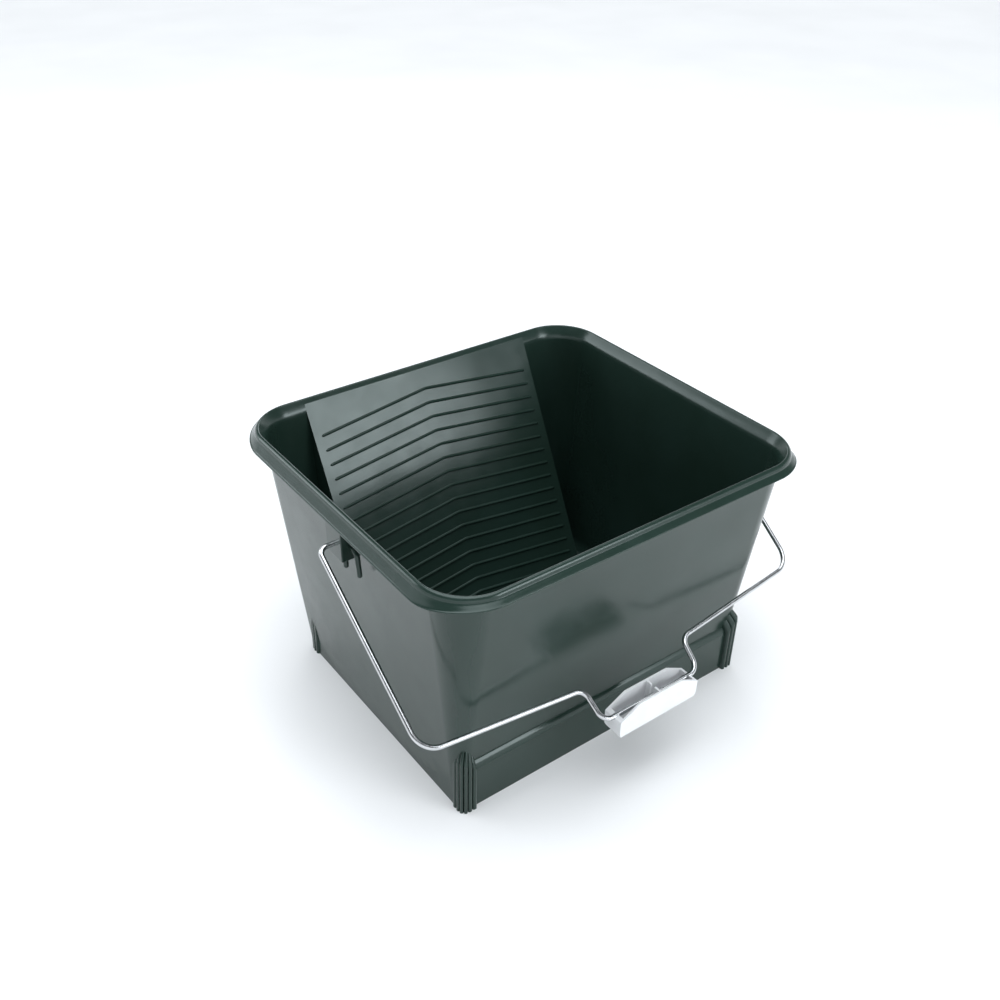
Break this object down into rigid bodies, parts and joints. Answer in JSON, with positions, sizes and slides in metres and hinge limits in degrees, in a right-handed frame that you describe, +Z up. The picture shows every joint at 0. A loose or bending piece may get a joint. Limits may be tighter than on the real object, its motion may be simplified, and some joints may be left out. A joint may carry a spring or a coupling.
{
  "type": "paint roller tray",
  "caption": "Deep rectangular paint roller bucket with a ribbed roll-off ramp, a rolled rim and a wire bail with a clip-on grip.",
  "frame": {"origin": "on the ground under the middle of the rim, in the tray's flat underside", "axes": "+Z up, +X to the right along the longer side of the rim, +Y to the ramp and away from the hanging bail"},
  "size_m": [0.4226, 0.3766, 0.2502],
  "materials": {
    "tray": "dark green, semi-gloss moulded",
    "bail_wire": "bright zinc plated",
    "grip": "white, natural moulded"
  },
  "bodies": {
    "tray": {"tray": "tray"},
    "bail": {"bail_wire": "bail_wire"},
    "grip": {"grip": "grip"}
  },
  "joints": [
    {"name": "bail_swing", "type": "hinge", "parent": "tray", "child": "bail", "pos_m": [0, -0.0089, 0.2182], "axis": [-1, 0, 0], "range_deg": [0, 200]},
    {"name": "grip_spin", "type": "hinge", "parent": "bail", "child": "grip", "pos_m": [0, -0.19151, 0.08504], "axis": [1, 0, 0], "continuous": true}
  ]
}
